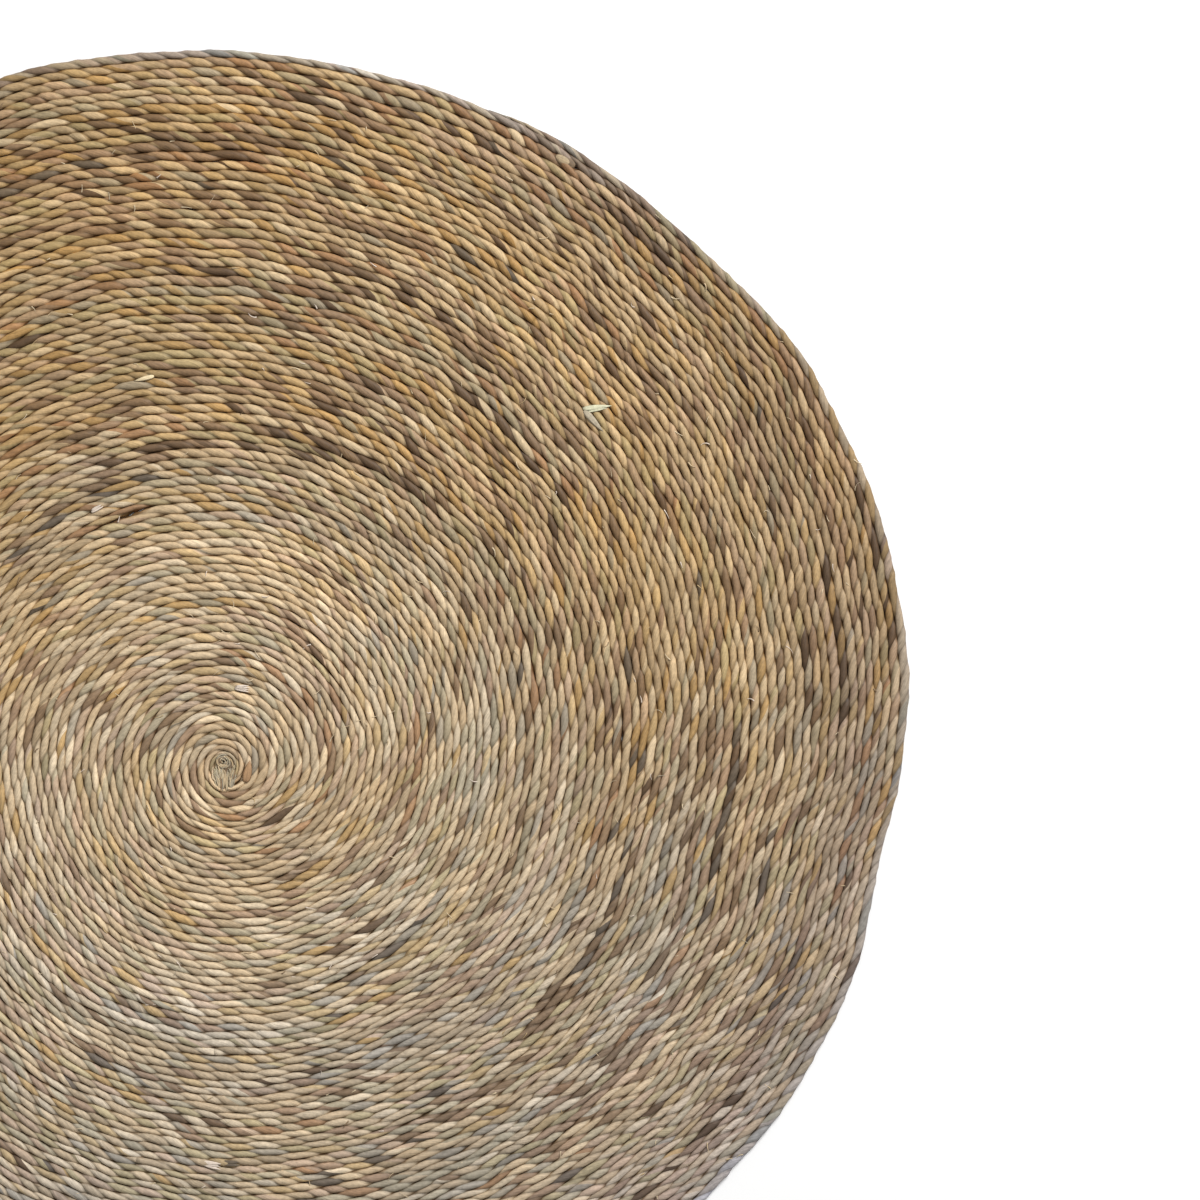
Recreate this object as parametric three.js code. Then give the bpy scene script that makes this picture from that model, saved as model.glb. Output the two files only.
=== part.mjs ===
// Round seagrass mat: one long two-ply cord wound in a flat spiral, its rounds side by side.
// Millimetres, +Z up. The mat lies on z = 0 and the origin is under the middle of its box.
// Angles are in degrees, counted anticlockwise as seen from above.

import * as THREE from "three";

// Driving sizes
const MAT_RADIUS = 600;
const START_OFFSET = { x: -1, y: -38 };
const ROUNDS = 81;
const INNER_PITCH = 6.75;
const OPENING_POWER = 1.5;
const END_ANGLE = 61;

// Heights of the section
const CREST_HEIGHT = 7.4;
const GROOVE_HEIGHT = 5.0;
const RIM_HEIGHT = 3.4;
const UNDERCUT = 1.3;
const CREST_UNEVENNESS = 0.3;
const SLOW_SWELL = 137;
const QUICK_SWELL = 411;

// The last stretch of the cord is thinned before it ends, to these shares of its full size
const TAPER_TURNS = 0.12;
const TAPER_WIDTH = 0.45;
const TAPER_HEIGHT = 0.86;

// Steps in each turn of the spiral, with finer steps on the wider rounds
const STEPS = [
  { fromTurn: 0, perTurn: 10 },
  { fromTurn: 6, perTurn: 20 },
  { fromTurn: 22, perTurn: 40 },
];

// How far the outline stands out from a true circle, by direction from the spiral's start
const OUTLINE = [
  { angle: -38, out: -5.0 },
  { angle: -28, out: -3.2 },
  { angle: -18, out: -2.5 },
  { angle: -8, out: -10.2 },
  { angle: 2, out: -0.6 },
  { angle: 8, out: 5.0 },
  { angle: 24, out: 5.4 },
  { angle: 35, out: 4.2 },
  { angle: 50, out: -6.2 },
  { angle: 57, out: -4.0 },
  { angle: 63, out: -0.2 },
  { angle: 76, out: -2.0 },
  { angle: 84, out: -1.2 },
  { angle: 91, out: 2.6 },
  { angle: 106, out: 11.8 },
  { angle: 150, out: 3.0 },
  { angle: 195, out: -3.0 },
  { angle: 240, out: 2.0 },
  { angle: 285, out: -1.0 },
];

// Places where a group of rounds swells out or sinks in
const WAVES = [
  { turn: 12, angle: 35, turnSpread: 5, angleSpread: 26, out: 2.4 },
  { turn: 16, angle: -95, turnSpread: 6, angleSpread: 30, out: -2.6 },
  { turn: 30, angle: 130, turnSpread: 7, angleSpread: 24, out: 2.2 },
  { turn: 34, angle: 12, turnSpread: 6, angleSpread: 16, out: -2.0 },
  { turn: 46, angle: 74, turnSpread: 6, angleSpread: 10, out: -2.4 },
  { turn: 52, angle: -30, turnSpread: 7, angleSpread: 14, out: 2.2 },
  { turn: 60, angle: 52, turnSpread: 6, angleSpread: 8, out: 2.6 },
  { turn: 66, angle: 205, turnSpread: 8, angleSpread: 20, out: -2.4 },
  { turn: 68, angle: 20, turnSpread: 5, angleSpread: 9, out: -2.2 },
  { turn: 70, angle: 98, turnSpread: 6, angleSpread: 9, out: 2.2 },
];

const FULL_TURN = 360;
const HALF_TURN = FULL_TURN / 2;
const STRAW = 0xc2a77f;

const radians = (degrees) => THREE.MathUtils.degToRad(degrees);

// The outline's unevenness at an angle, eased from one row of OUTLINE to the next
function outlineOut(angle) {
  const first = OUTLINE[0].angle;
  const turned = first + THREE.MathUtils.euclideanModulo(angle - first, FULL_TURN);
  const closed = [...OUTLINE, { angle: first + FULL_TURN, out: OUTLINE[0].out }];
  const next = closed.findIndex((row) => row.angle > turned);
  const [low, high] = [closed[next - 1], closed[next]];
  const share = THREE.MathUtils.smoothstep(turned, low.angle, high.angle);
  return THREE.MathUtils.lerp(low.out, high.out, share);
}

// Distance from the spiral's start to the outline
function outlineRadius(angle) {
  const along = START_OFFSET.x * Math.cos(radians(angle)) + START_OFFSET.y * Math.sin(radians(angle));
  const offsetSquared = START_OFFSET.x ** 2 + START_OFFSET.y ** 2;
  return Math.sqrt(along ** 2 + MAT_RADIUS ** 2 - offsetSquared) - along + outlineOut(angle);
}

// Swelling or sinking of the rounds about one place
function waveOut(round, angle) {
  let out = 0;
  for (const wave of WAVES) {
    const apart = THREE.MathUtils.euclideanModulo(angle - wave.angle + HALF_TURN, FULL_TURN) - HALF_TURN;
    const far = ((round - wave.turn) / wave.turnSpread) ** 2 + (apart / wave.angleSpread) ** 2;
    out += wave.out * Math.exp(-far / 2);
  }
  return out;
}

// Radius of the line that lies a number of rounds out from the start. The rounds are tight
// near the start and open evenly towards the outline, more where the outline is farther off.
function lineRadius(round, angle) {
  const k = Math.max(round, 0);
  const spare = outlineRadius(angle) - INNER_PITCH * ROUNDS;
  return INNER_PITCH * k + spare * (k / ROUNDS) ** OPENING_POWER + waveOut(k, angle);
}

// How far the cord is thinned at a turn: 0 along its full stretch and 1 at its cut end
const taper = (turn) => THREE.MathUtils.clamp((turn - (ROUNDS - TAPER_TURNS)) / TAPER_TURNS, 0, 1);

const widthShare = (turn) => THREE.MathUtils.lerp(1, TAPER_WIDTH, taper(turn));

// Radius across the cord at a turn: 0 at its inner side, 1 at its outer side
function cordRadius(turn, across) {
  const angle = turnAngle(turn);
  const inner = lineRadius(turn - 0.5, angle);
  const outer = lineRadius(turn + 0.5, angle);
  return inner + (outer - inner) * widthShare(turn) * across;
}

const turnAngle = (turn) => END_ANGLE + FULL_TURN * (turn - ROUNDS);

// The cord's top, a little uneven along its length. The swells are in degrees for each turn.
const crestHeight = (turn) =>
  CREST_HEIGHT * THREE.MathUtils.lerp(1, TAPER_HEIGHT, taper(turn)) +
  CREST_UNEVENNESS * Math.sin(radians(turn * SLOW_SWELL)) * Math.cos(radians(turn * QUICK_SWELL));

// All the turns at which the spiral has a point
function turnsOfSpiral() {
  const turns = [];
  STEPS.forEach(({ fromTurn, perTurn }, i) => {
    const toTurn = STEPS[i + 1]?.fromTurn ?? ROUNDS;
    for (let step = 0; step < (toTurn - fromTurn) * perTurn; step++) {
      turns.push(fromTurn + step / perTurn);
    }
  });
  turns.push(ROUNDS);
  return turns;
}

// Builds the closed solid from the crest, groove, rim and foot lines
function matGeometry() {
  const points = [];
  const faces = [];

  const addPoint = (radius, angle, height) => {
    points.push(
      START_OFFSET.x + radius * Math.cos(radians(angle)),
      START_OFFSET.y + radius * Math.sin(radians(angle)),
      height,
    );
    return points.length / 3 - 1;
  };

  const addLine = (turns, across, inset, heightAt) =>
    turns.map((turn) => ({
      turn,
      point: addPoint(cordRadius(turn, across) - inset, turnAngle(turn), heightAt(turn)),
    }));

  // Joins two lines with a strip of triangles, stepping along whichever line is behind
  const join = (inner, outer, lag) => {
    let i = 0;
    let o = 0;
    while (i < inner.length - 1 || o < outer.length - 1) {
      const innerNext = i < inner.length - 1 ? inner[i + 1].turn + lag : Infinity;
      const outerNext = o < outer.length - 1 ? outer[o + 1].turn : Infinity;
      if (outerNext <= innerNext) {
        faces.push(inner[i].point, outer[o].point, outer[o + 1].point);
        o++;
      } else {
        faces.push(inner[i].point, outer[o].point, inner[i + 1].point);
        i++;
      }
    }
  };

  const turns = turnsOfSpiral();
  const lastRound = turns.filter((turn) => turn >= ROUNDS - 1);
  const sideHeight = (turn) => (turn > ROUNDS - 1 ? RIM_HEIGHT : GROOVE_HEIGHT);
  const crest = addLine(turns, 0.5, 0, crestHeight);
  const side = addLine(turns, 1, 0, sideHeight);
  const foot = addLine(lastRound, 1, UNDERCUT, () => 0);
  const rim = side.filter(({ turn }) => turn >= ROUNDS - 1);

  // Each round falls from its crest to its outer side, and rises from there to the next crest
  join(crest, side, 0);
  join(
    side.filter(({ turn }) => turn <= ROUNDS - 1),
    crest.filter(({ turn }) => turn >= 1),
    1,
  );

  // The first round closes on itself
  const firstRound = crest.filter(({ turn }) => turn <= 1);
  for (let i = 1; i < firstRound.length - 1; i++) {
    faces.push(firstRound[0].point, firstRound[i].point, firstRound[i + 1].point);
  }
  faces.push(firstRound[0].point, firstRound.at(-1).point, side[0].point);

  // The rim goes in a little to the foot, and the underside is flat
  join(rim, foot, 0);
  const middle = points.push(0, 0, 0) / 3 - 1;
  for (let i = 0; i < foot.length - 1; i++) {
    faces.push(middle, foot[i + 1].point, foot[i].point);
  }
  faces.push(middle, foot[0].point, foot.at(-1).point);

  // The cut end of the cord
  const end = [rim[0], crest.at(-1), rim.at(-1), foot.at(-1), foot[0]].map(({ point }) => point);
  for (let i = 1; i < end.length - 1; i++) {
    faces.push(end[0], end[i], end[i + 1]);
  }

  const geometry = new THREE.BufferGeometry();
  geometry.setAttribute("position", new THREE.Float32BufferAttribute(points, 3));
  geometry.setIndex(faces);

  // The origin goes under the middle of the mat's box
  geometry.computeBoundingBox();
  const centre = geometry.boundingBox.getCenter(new THREE.Vector3());
  geometry.translate(-centre.x, -centre.y, 0);
  geometry.computeVertexNormals();
  return geometry;
}

const seagrass = new THREE.MeshStandardMaterial({ color: STRAW, roughness: 0.9, metalness: 0 });
const mat = new THREE.Mesh(matGeometry(), seagrass);
mat.name = "mat";

const seagrassMat = new THREE.Group();
seagrassMat.name = "seagrass_mat";
seagrassMat.add(mat);

export default seagrassMat;
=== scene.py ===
"""Round seagrass mat, wound from one long two-ply cord. Metres, +Z up, angles in degrees seen from above."""

import logging
import math
from collections.abc import Iterable, Sequence
from dataclasses import dataclass, field
from enum import Enum

import bpy
import numpy as np
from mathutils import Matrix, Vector


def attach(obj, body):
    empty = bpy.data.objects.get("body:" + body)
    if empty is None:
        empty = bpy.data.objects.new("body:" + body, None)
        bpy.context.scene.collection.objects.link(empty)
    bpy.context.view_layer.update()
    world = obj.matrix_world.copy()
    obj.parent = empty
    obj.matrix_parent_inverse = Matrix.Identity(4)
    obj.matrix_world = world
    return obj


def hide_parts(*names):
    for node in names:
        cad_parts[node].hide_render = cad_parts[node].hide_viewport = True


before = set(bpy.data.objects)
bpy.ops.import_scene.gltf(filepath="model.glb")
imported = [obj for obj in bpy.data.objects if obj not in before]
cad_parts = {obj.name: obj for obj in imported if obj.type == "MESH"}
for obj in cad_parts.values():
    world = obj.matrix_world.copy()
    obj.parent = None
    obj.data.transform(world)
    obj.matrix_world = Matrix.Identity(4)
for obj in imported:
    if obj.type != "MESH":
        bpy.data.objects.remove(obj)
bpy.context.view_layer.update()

LOG = logging.getLogger("seagrass_mat")
MM = 0.001
FULL_TURN = 360.0


def smooth(share: np.ndarray) -> np.ndarray:
    """Eases a share from 0 to 1.

    Args:
        share: Values that are cut to 0 to 1 first.

    Returns:
        The same values with a soft start and end.
    """
    cut = np.clip(share, 0.0, 1.0)
    return cut * cut * (3.0 - 2.0 * cut)


def wobble(at: np.ndarray, wavelength: float, seed: int) -> np.ndarray:
    """Smooth noise along a line.

    Args:
        at: Places along the line, none below 0.
        wavelength: Distance from one free value to the next.
        seed: Picks the noise.

    Returns:
        A value from -1 to 1 at each place.
    """
    knots = np.random.default_rng(seed).uniform(-1.0, 1.0, int(np.max(at) / wavelength) + 3)
    place = at / wavelength
    low = np.floor(place).astype(int)
    share = smooth(place - low)
    return knots[low] * (1.0 - share) + knots[low + 1] * share


def patchy(place: np.ndarray, size: Sequence[float], seed: int) -> np.ndarray:
    """Smooth noise over a plane.

    Args:
        place: Points of the plane, one row each, none below -1.
        size: Distance from one free value to the next, both ways.
        seed: Picks the noise.

    Returns:
        A value from -1 to 1 at each point.
    """
    at = (place + 1.0) / np.asarray(size)
    low = np.floor(at).astype(int)
    share = smooth(at - low)
    knots = np.random.default_rng(seed).uniform(-1.0, 1.0, low.max(axis=0) + 2)
    near = knots[low[:, 0], low[:, 1]] * (1 - share[:, 0]) + knots[low[:, 0] + 1, low[:, 1]] * share[:, 0]
    far = knots[low[:, 0], low[:, 1] + 1] * (1 - share[:, 0])
    far += knots[low[:, 0] + 1, low[:, 1] + 1] * share[:, 0]
    return near * (1 - share[:, 1]) + far * share[:, 1]


@dataclass(frozen=True)
class Ripple:
    """Smooth unevenness along the cord."""

    size: float
    wavelength: float
    seed: int

    def along(self, metres: np.ndarray) -> np.ndarray:
        """The unevenness at each place along the cord."""
        return self.size * wobble(metres, self.wavelength, self.seed)


@dataclass(frozen=True)
class Patches:
    """Smooth unevenness over the mat, laid out by distance from the middle and by way round it."""

    size: float
    grid: tuple[float, float]
    seed: int

    def over(self, polar: np.ndarray) -> np.ndarray:
        """The unevenness at each point."""
        return self.size * patchy(polar, self.grid, self.seed)


@dataclass(frozen=True)
class Facing:
    """The side of the mat that faces one way, as a share that eases from 0 to 1 round it."""

    turned: float
    slope: float
    level: float

    def share(self, angle: np.ndarray) -> np.ndarray:
        """How far each direction faces that way."""
        return smooth(self.slope * np.cos(angle - self.turned) + self.level)


def tinted(tint: np.ndarray, share: np.ndarray, other: Sequence[float]) -> np.ndarray:
    """Lays another tint over a tint.

    Args:
        tint: A factor of red, green and blue for each point.
        share: How far the other tint reaches each point.
        other: The other tint's factors.

    Returns:
        The product of the two.
    """
    return tint * (1.0 - share * (1.0 - np.array(other)))


def linear(srgb: Sequence[float]) -> np.ndarray:
    """Turns a colour from 0 to 255 into linear light.

    Args:
        srgb: Red, green and blue from 0 to 255.

    Returns:
        The linear colour from 0 to 1.
    """
    part = np.asarray(srgb, float) / 255.0
    return np.where(part <= 0.04045, part / 12.92, ((part + 0.055) / 1.055) ** 2.4)


def between(limits: tuple[float, float], share: np.ndarray | float) -> np.ndarray | float:
    """The value that lies a share of the way from the first limit to the second."""
    return limits[0] + (limits[1] - limits[0]) * share


class Leaf(Enum):
    """Tones of dried seagrass leaf, red, green and blue from 0 to 255."""

    PALE = (208, 189, 157)
    STRAW = (199, 177, 142)
    SAND = (189, 166, 131)
    GOLD = (191, 165, 121)
    OLIVE = (180, 163, 124)
    GREEN_GREY = (176, 162, 132)
    PINK_TAN = (187, 162, 133)
    ROSE_BROWN = (158, 132, 105)
    BROWN = (137, 113, 86)
    UMBER = (108, 87, 65)
    RUST = (166, 131, 96)
    OCHRE = (184, 152, 102)
    GREY = (168, 156, 134)
    CHARCOAL = (108, 96, 81)
    SAGE = (206, 203, 172)
    CREAM = (218, 198, 160)
    BLEACHED = (222, 206, 190)


DARK_LEAVES = (Leaf.ROSE_BROWN, Leaf.BROWN, Leaf.UMBER, Leaf.RUST, Leaf.CHARCOAL)


def tone_rows(tones: Iterable[Leaf]) -> np.ndarray:
    """The tones in linear light, one row each."""
    return np.array([linear(tone.value) for tone in tones])


@dataclass(frozen=True)
class LeafMix:
    """How often each tone comes up in one part of the mat, and the tint laid over that part."""

    shares: dict[Leaf, float]
    tint: tuple[float, float, float]

    def as_array(self) -> np.ndarray:
        """The shares in the order of Leaf, adding up to 1."""
        row = np.array([self.shares.get(tone, 0.0) for tone in Leaf])
        return row / row.sum()


CENTRE_MIX = LeafMix({
    Leaf.PALE: 13, Leaf.STRAW: 27, Leaf.SAND: 22, Leaf.GOLD: 7, Leaf.OLIVE: 7, Leaf.GREEN_GREY: 9,
    Leaf.PINK_TAN: 9, Leaf.ROSE_BROWN: 3, Leaf.BROWN: 2, Leaf.OCHRE: 2, Leaf.GREY: 4, Leaf.RUST: 0.8,
    Leaf.UMBER: 0.3,
}, (0.945, 0.925, 0.93))
UPPER_MIX = LeafMix({
    Leaf.PALE: 6, Leaf.STRAW: 17, Leaf.SAND: 21, Leaf.GOLD: 15, Leaf.OLIVE: 9, Leaf.GREEN_GREY: 6,
    Leaf.PINK_TAN: 9, Leaf.ROSE_BROWN: 7, Leaf.BROWN: 5.5, Leaf.OCHRE: 8, Leaf.GREY: 2, Leaf.RUST: 2.5,
    Leaf.UMBER: 2.5, Leaf.CHARCOAL: 0.5,
}, (0.76, 0.69, 0.59))
LOWER_MIX = LeafMix({
    Leaf.PALE: 11, Leaf.STRAW: 20, Leaf.SAND: 21, Leaf.GOLD: 5, Leaf.OLIVE: 7, Leaf.GREEN_GREY: 12,
    Leaf.PINK_TAN: 10, Leaf.ROSE_BROWN: 5, Leaf.BROWN: 4, Leaf.OCHRE: 1.5, Leaf.GREY: 11, Leaf.RUST: 0.8,
    Leaf.UMBER: 1.0, Leaf.CHARCOAL: 0.6,
}, (0.81, 0.84, 0.95))
# Greyer tones under a darker, cooler tint for a short stretch of the last round at the top: painted shade of
# its outer side turning down.
SHADED_RIM_MIX = LeafMix({
    Leaf.GREY: 30, Leaf.PINK_TAN: 25, Leaf.SAND: 15, Leaf.GREEN_GREY: 10, Leaf.PALE: 10, Leaf.ROSE_BROWN: 10,
}, (0.66, 0.72, 0.88))


@dataclass(frozen=True)
class Bulge:
    """How far the outline stands out from a circle in one direction."""

    angle: float
    out: float


@dataclass(frozen=True)
class Wave:
    """A place where a group of rounds swells out or sinks in."""

    turn: float
    angle: float
    turn_spread: float
    angle_spread: float
    out: float


@dataclass(frozen=True)
class Gap:
    """A place where two rounds each draw back a little from the line between them."""

    angle: float
    radius: float
    length: float
    half_width: float


@dataclass
class Spiral:
    """The lines between the rounds, worked out as in the solid and then roughened.

    Turns and lines are counted in rounds from the start, and angles are in degrees.
    """

    mat_radius: float = 600 * MM
    start_x: float = -1 * MM
    start_y: float = -38 * MM
    rounds: int = 81
    inner_pitch: float = 6.75 * MM
    thin_rounds: float = 3.5
    opening_power: float = 1.5
    end_angle: float = 61.0
    taper_turns: float = 0.12
    taper_width: float = 0.72
    tail_turns: float = 0.02
    tail_width: float = 0.1
    solid_steps: int = 40
    push: float = 0.85 * MM
    rim_push: float = 0.6
    push_kept: float = 0.88
    still_rounds: float = 0.7
    growing_rounds: float = 4.0
    calm_rounds: float = 4.0
    unevenness: tuple[Ripple, ...] = (
        Ripple(0.95, 30 * MM, 11), Ripple(0.75, 110 * MM, 12), Ripple(0.6, 420 * MM, 13),
    )
    squeeze: float = 2.6 * MM
    squeezed_rounds: float = 4.0
    squeeze_end: float = 0.05
    squeeze_angle: float = 76.0
    squeeze_spread: float = 16.0
    rim_pull: float = 1.4 * MM
    end_pull: float = 2.6 * MM
    end_pull_angle: float = 62.0
    end_pull_spread: float = 9.0
    pulled_rounds: float = 6.0
    loose_angle: float = -32.0
    loose_spread: float = 20.0
    loose_share: float = 0.8
    loose_from: float = 50.0
    loose_rounds: float = 10.0
    grid_steps: int = 1440
    oval: float = 2.2 * MM
    oval_turns: float = 3.5
    oval_angle: float = 97.0
    oval_radius: float = 6 * MM
    gap_reach: float = 0.3
    loose_gaps: int = 70
    gap_seed: int = 14
    gap_lengths: tuple[float, float] = (14 * MM, 54 * MM)
    gap_half_widths: tuple[float, float] = (0.3 * MM, 0.9 * MM)
    inmost_gap: float = 0.03
    strewn_share: float = 0.9
    outline: tuple[Bulge, ...] = (
        Bulge(-38, -5.0 * MM), Bulge(-28, -3.2 * MM), Bulge(-18, -2.5 * MM), Bulge(-8, -10.2 * MM),
        Bulge(2, -0.6 * MM), Bulge(8, 5.0 * MM), Bulge(24, 5.4 * MM), Bulge(35, 4.2 * MM),
        Bulge(50, -6.2 * MM), Bulge(57, -4.0 * MM), Bulge(63, -0.2 * MM), Bulge(76, -2.0 * MM),
        Bulge(84, -1.2 * MM), Bulge(91, 2.6 * MM), Bulge(106, 11.8 * MM), Bulge(150, 3.0 * MM),
        Bulge(195, -3.0 * MM), Bulge(240, 2.0 * MM), Bulge(285, -1.0 * MM),
    )
    waves: tuple[Wave, ...] = (
        Wave(12, 35, 5, 26, 2.4 * MM), Wave(16, -95, 6, 30, -2.6 * MM), Wave(30, 130, 7, 24, 2.2 * MM),
        Wave(34, 12, 6, 16, -2.0 * MM), Wave(46, 74, 6, 10, -2.4 * MM), Wave(52, -30, 7, 14, 2.2 * MM),
        Wave(60, 52, 6, 8, 2.6 * MM), Wave(66, 205, 8, 20, -2.4 * MM), Wave(68, 20, 5, 9, -2.2 * MM),
        Wave(70, 98, 6, 9, 2.2 * MM),
    )
    gaps: tuple[Gap, ...] = (
        Gap(125.7, 286 * MM, 22 * MM, 1.1 * MM), Gap(110.0, 243 * MM, 40 * MM, 2.1 * MM),
        Gap(-52, 16 * MM, 11 * MM, 0.9 * MM), Gap(59.8, 620 * MM, 6 * MM, 2.2 * MM),
    )
    shift: np.ndarray = field(init=False)
    pushed: np.ndarray = field(init=False)
    gap_lines: list[tuple[Gap, float]] = field(init=False)

    def __post_init__(self) -> None:
        """Finds where the solid's box puts the spiral, and how far uneven rounds push each other."""
        self.shift = np.zeros(2)
        turns = self.rounds - 1 + np.arange(self.solid_steps + 1) / self.solid_steps
        rim = self.at(self.angle(turns), self.rim_radius(turns))
        self.shift = -(rim.min(axis=0) + rim.max(axis=0)) / 2
        self.pushed = self.push_rounds()
        self.gap_lines = [(gap, self.line_at(gap.angle, gap.radius)) for gap in self.all_gaps()]

    def angle(self, turn: np.ndarray) -> np.ndarray:
        """The direction from the start at a turn."""
        return self.end_angle + FULL_TURN * (turn - self.rounds)

    def apart(self, angle: np.ndarray, mark: float) -> np.ndarray:
        """Degrees from a mark round to each angle, the short way."""
        return np.mod(angle - mark + FULL_TURN / 2, FULL_TURN) - FULL_TURN / 2

    def outline_out(self, angle: np.ndarray) -> np.ndarray:
        """The outline's unevenness.

        Args:
            angle: Directions from the spiral's start.

        Returns:
            How far the outline stands out from the circle there.
        """
        first = self.outline[0].angle
        at = np.array([row.angle for row in self.outline] + [first + FULL_TURN])
        out = np.array([row.out for row in self.outline] + [self.outline[0].out])
        turned = first + np.mod(angle - first, FULL_TURN)
        low = np.clip(np.searchsorted(at, turned, side="right") - 1, 0, len(at) - 2)
        share = smooth((turned - at[low]) / (at[low + 1] - at[low]))
        return out[low] * (1.0 - share) + out[low + 1] * share

    def outline_radius(self, angle: np.ndarray) -> np.ndarray:
        """Distance from the spiral's start to the outline.

        Args:
            angle: Directions from the spiral's start.

        Returns:
            The distance in each direction.
        """
        turned = np.radians(angle)
        along = self.start_x * np.cos(turned) + self.start_y * np.sin(turned)
        offset_squared = self.start_x**2 + self.start_y**2
        reach = np.sqrt(along**2 + self.mat_radius**2 - offset_squared)
        return reach - along + self.outline_out(angle)

    def wave_out(self, line: np.ndarray, angle: np.ndarray) -> np.ndarray:
        """Swelling or sinking of the rounds about the waves' places.

        Args:
            line: Numbers of rounds out from the start.
            angle: Directions from the start.

        Returns:
            How far each line is moved out.
        """
        out = np.zeros_like(line)
        for wave in self.waves:
            apart = self.apart(angle, wave.angle)
            far = ((line - wave.turn) / wave.turn_spread) ** 2 + (apart / wave.angle_spread) ** 2
            out += wave.out * np.exp(-far / 2)
        return out

    def line_radius(self, line: np.ndarray, angle: np.ndarray) -> np.ndarray:
        """Radius of a line that lies a number of rounds out from the start.

        Args:
            line: Number of rounds. Inside the thin rounds the cord winds in ever thinner.
            angle: Directions from the start.

        Returns:
            The radius before any roughness.
        """
        k = np.maximum(line, 0.0)
        thin = self.thin_rounds * np.exp(np.minimum(line / self.thin_rounds, 1.0) - 1.0)
        even = np.where(line < self.thin_rounds, thin, k) * self.inner_pitch
        spare = self.outline_radius(angle) - self.inner_pitch * self.rounds
        return even + spare * (k / self.rounds) ** self.opening_power + self.wave_out(k, angle)

    def line_at(self, angle: float, radius: float) -> float:
        """Finds the line between two rounds that runs nearest to a place.

        Args:
            angle: The place's direction from the start.
            radius: Its distance from the start.

        Returns:
            The line, in rounds out from the start.
        """
        first = 0.5 + (angle - self.end_angle) % FULL_TURN / FULL_TURN
        lines = first + np.arange(self.rounds)
        away = np.abs(self.line_radius(lines, np.full(self.rounds, float(angle))) - radius)
        return float(lines[np.argmin(away)])

    def all_gaps(self) -> list[Gap]:
        """Adds gaps strewn over the mat to those that show most.

        Returns:
            All the gaps.
        """
        draws = np.random.default_rng(self.gap_seed)
        strewn = []
        for _ in range(self.loose_gaps):
            angle, share, length, width = draws.random(4)
            radius = self.strewn_radius(share, self.inmost_gap)
            size = (between(self.gap_lengths, length), between(self.gap_half_widths, width))
            strewn.append(Gap(FULL_TURN * angle, radius, *size))
        return [*self.gaps, *strewn]

    def strewn_radius(self, share: float, inmost: float) -> float:
        """Distance from the start for a draw from 0 to 1, spread evenly over the mat's area."""
        return self.mat_radius * math.sqrt(inmost + self.strewn_share * share)

    def gap_out(self, line: np.ndarray, angle: np.ndarray) -> np.ndarray:
        """Half the width of the gaps between rounds.

        Args:
            line: Numbers of rounds out from the start.
            angle: Directions from the start.

        Returns:
            The half width on each line.
        """
        out = np.zeros_like(line)
        for gap, gap_line in self.gap_lines:
            apart = self.apart(angle, gap.angle)
            aside = (line - gap_line - apart / FULL_TURN) / self.gap_reach
            along = np.radians(apart) * gap.radius / (gap.length / 2)
            out += gap.half_width * np.exp(-(aside**2) - along**2)
        return out

    def width_share(self, turn: np.ndarray) -> np.ndarray:
        """Width left to the cord near its end.

        Args:
            turn: Turns from the start of the spiral.

        Returns:
            The width as a share of the full round.
        """
        share = np.clip((turn - (self.rounds - self.taper_turns)) / self.taper_turns, 0.0, 1.0)
        tail = np.clip((turn - self.rounds) / self.tail_turns, 0.0, 1.0)
        return 1.0 + (self.taper_width - 1.0) * share + (self.tail_width - self.taper_width) * tail

    def rim_radius(self, turn: np.ndarray) -> np.ndarray:
        """Radius of the cord's outer side before any roughness.

        Args:
            turn: Turns from the start of the spiral.

        Returns:
            The radius at each turn.
        """
        angle = self.angle(turn)
        inner = self.line_radius(turn - 0.5, angle)
        outer = self.line_radius(turn + 0.5, angle)
        return inner + (outer - inner) * self.width_share(turn)

    def start(self) -> np.ndarray:
        """The spiral's start in the mat's frame."""
        return np.array([self.start_x, self.start_y]) + self.shift

    def at(self, angle: np.ndarray | float, radius: np.ndarray | float) -> np.ndarray:
        """Points in the mat's frame, one row each, by direction and distance from the start."""
        turned = np.radians(angle)
        return self.start() + np.stack([radius * np.cos(turned), radius * np.sin(turned)], axis=-1)

    def near(self, angle: np.ndarray, mark: float, spread: float) -> np.ndarray:
        """How near each angle is to a mark, from 0 to 1."""
        return np.exp(-((self.apart(angle, mark) / spread) ** 2))

    def push_rounds(self) -> np.ndarray:
        """Lets each thick or thin stretch of cord push the rounds outside it.

        Returns:
            The push on every line, one row for each round and one column for each step of a turn.
        """
        share = np.arange(self.grid_steps) / self.grid_steps
        count = self.rounds + 3
        pushed = np.zeros((count, self.grid_steps))
        lines = np.arange(count)[:, None] + share[None, :]
        metres = math.pi * lines**2 * self.inner_pitch
        uneven = sum(ripple.along(metres) for ripple in self.unevenness)
        grown = smooth((lines - self.still_rounds) / self.growing_rounds)
        loose = self.near(self.angle(lines) + FULL_TURN / 2, self.loose_angle, self.loose_spread)
        loose *= smooth((lines - self.loose_from) / self.loose_rounds)
        uneven *= 1.0 + self.loose_share * loose
        for k in range(1, count):
            pushed[k] = self.push_kept * pushed[k - 1] + self.push * uneven[k] * grown[k]
        return pushed

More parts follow.
